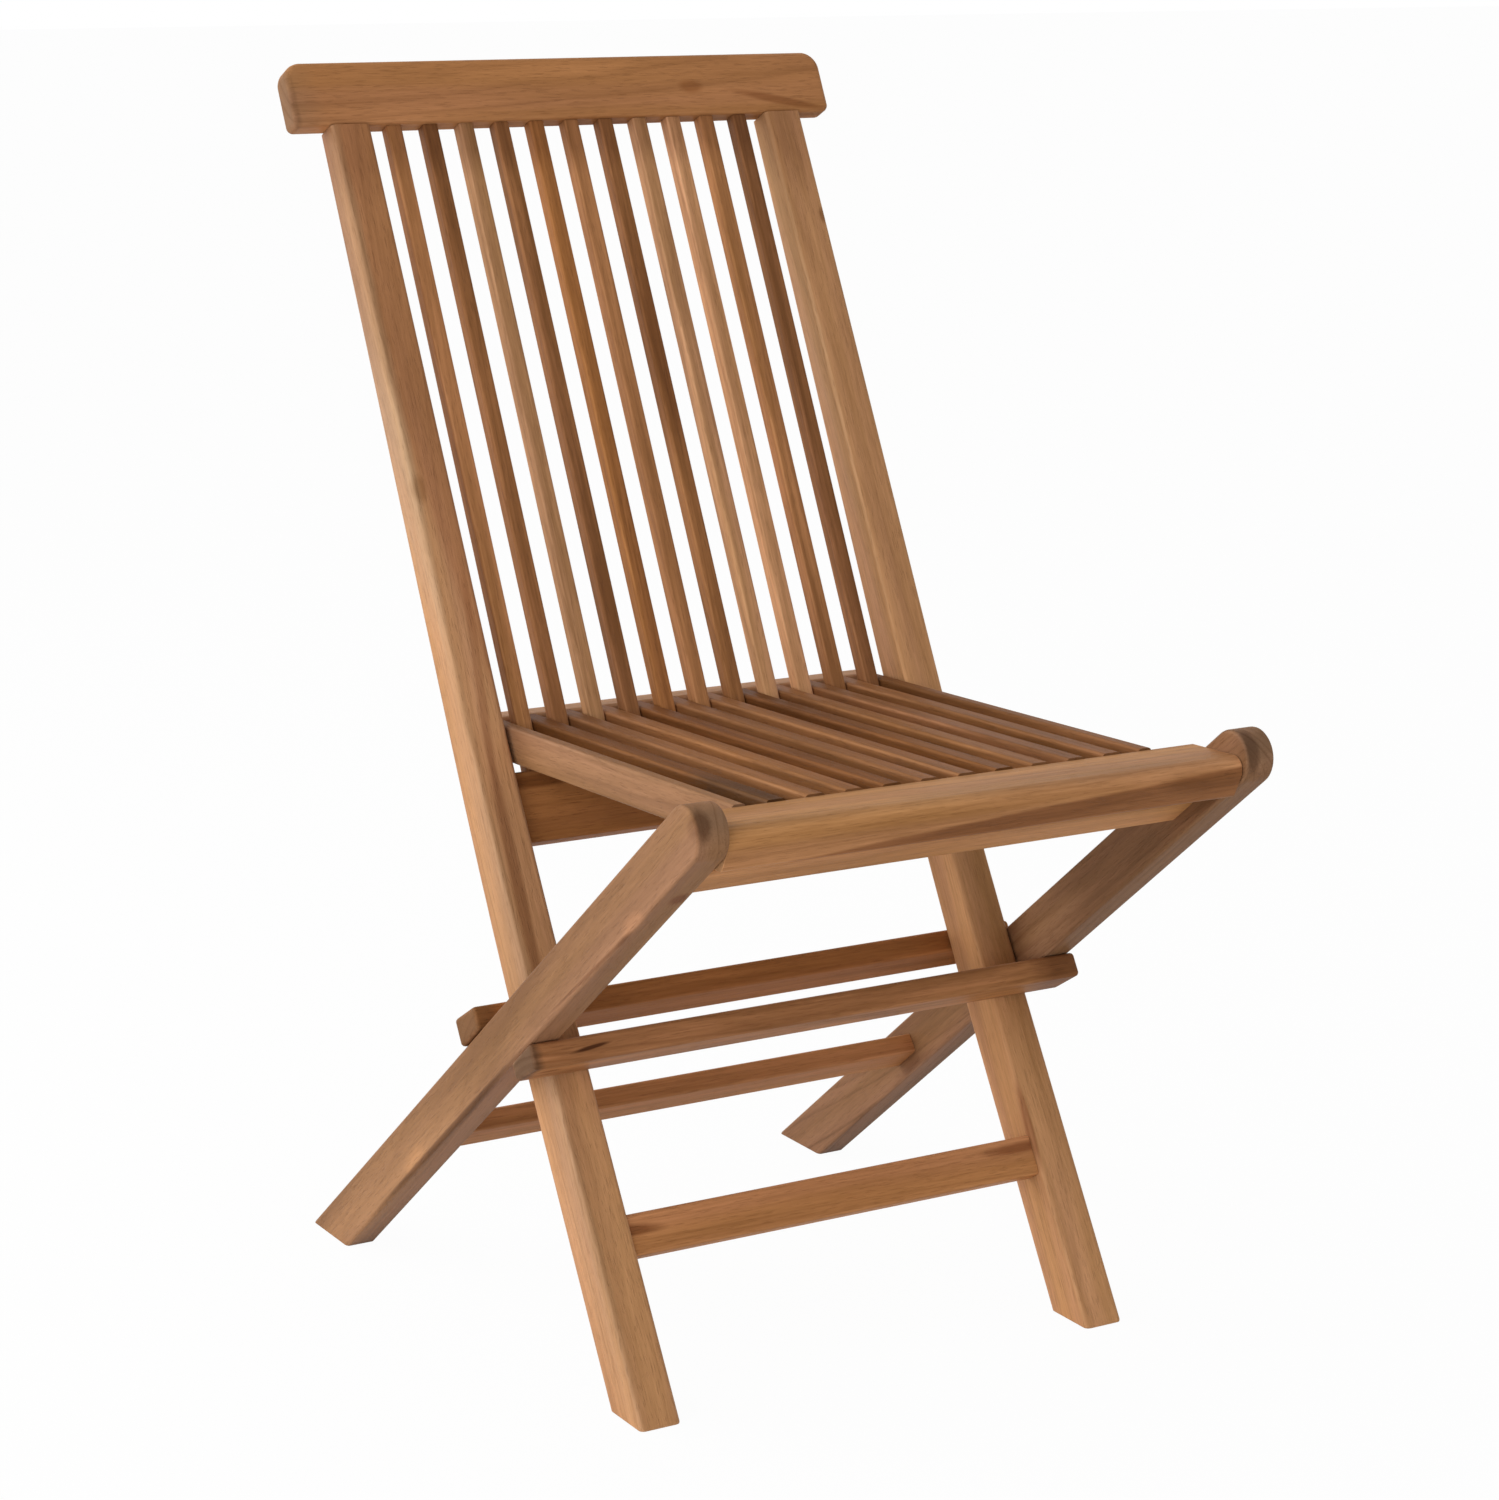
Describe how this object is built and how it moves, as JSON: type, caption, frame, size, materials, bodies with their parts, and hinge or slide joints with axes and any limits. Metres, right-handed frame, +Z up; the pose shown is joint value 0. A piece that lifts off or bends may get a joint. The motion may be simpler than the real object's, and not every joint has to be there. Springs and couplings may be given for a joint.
{
  "type": "folding side chair",
  "caption": "Armless folding chair in solid teak: a slatted seat that folds up between the back slats, crossed legs, a crest rail, and stop rails that hold it open.",
  "frame": {"origin": "on the floor, under the middle of the bounding box of the open chair", "axes": "+Z up; the sitter faces -Y; +X to the right of someone who looks at the chair's front"},
  "size_m": [0.4544, 0.6216, 0.892],
  "materials": {
    "teak_honey": "oiled, satin",
    "teak_tan": "oiled, satin",
    "teak_brown": "oiled, satin",
    "teak_dark": "oiled, satin",
    "dowel_wood": "oiled, satin",
    "pin_steel": "brushed"
  },
  "bodies": {
    "back_frame": {"back_post_left": "teak_honey", "back_post_right": "teak_honey", "crest_rail": "teak_honey", "back_slat_01": "teak_brown", "back_slat_02": "teak_dark", "back_slat_03": "teak_tan", "back_slat_04": "teak_brown", "back_slat_05": "teak_dark", "back_slat_06": "teak_tan", "back_slat_07": "teak_brown", "back_slat_08": "teak_dark", "back_slat_09": "teak_tan", "back_slat_10": "teak_brown", "back_slat_11": "teak_dark", "back_lower_rail": "teak_honey", "foot_stretcher": "teak_tan", "stop_rail_front": "teak_brown", "stop_rail_rear": "teak_brown", "stop_rail_dowel_front_left": "dowel_wood", "stop_rail_dowel_front_right": "dowel_wood", "stop_rail_dowel_rear_left": "dowel_wood", "stop_rail_dowel_rear_right": "dowel_wood"},
    "leg_frame": {"cross_leg_left": "teak_tan", "cross_leg_right": "teak_tan", "leg_stretcher_upper": "teak_tan", "leg_stretcher_lower": "teak_tan", "cross_pivot_pin_left": "pin_steel", "cross_pivot_pin_right": "pin_steel", "seat_pivot_pin_left": "pin_steel", "seat_pivot_pin_right": "pin_steel"},
    "seat": {"seat_slat_01": "teak_brown", "seat_slat_02": "teak_tan", "seat_slat_03": "teak_dark", "seat_slat_04": "teak_brown", "seat_slat_05": "teak_tan", "seat_slat_06": "teak_dark", "seat_slat_07": "teak_brown", "seat_slat_08": "teak_tan", "seat_slat_09": "teak_dark", "seat_slat_10": "teak_brown", "seat_side_rail_left": "teak_honey", "seat_side_rail_right": "teak_honey", "seat_front_rail": "teak_honey", "seat_rear_rail": "teak_brown"}
  },
  "joints": [
    {"name": "leg_fold", "type": "hinge", "parent": "back_frame", "child": "leg_frame", "pos_m": [0, -0.02792, 0.2345], "axis": [-1, 0, 0], "range_deg": [0, 72]},
    {"name": "seat_fold", "type": "hinge", "parent": "leg_frame", "child": "seat", "pos_m": [0, -0.27557, 0.42868], "axis": [1, 0, 0], "range_deg": [0, 123.5]}
  ],
  "couplings": [
    {"joint": "seat_fold", "follows": "leg_fold", "ratio": 1.715}
  ]
}
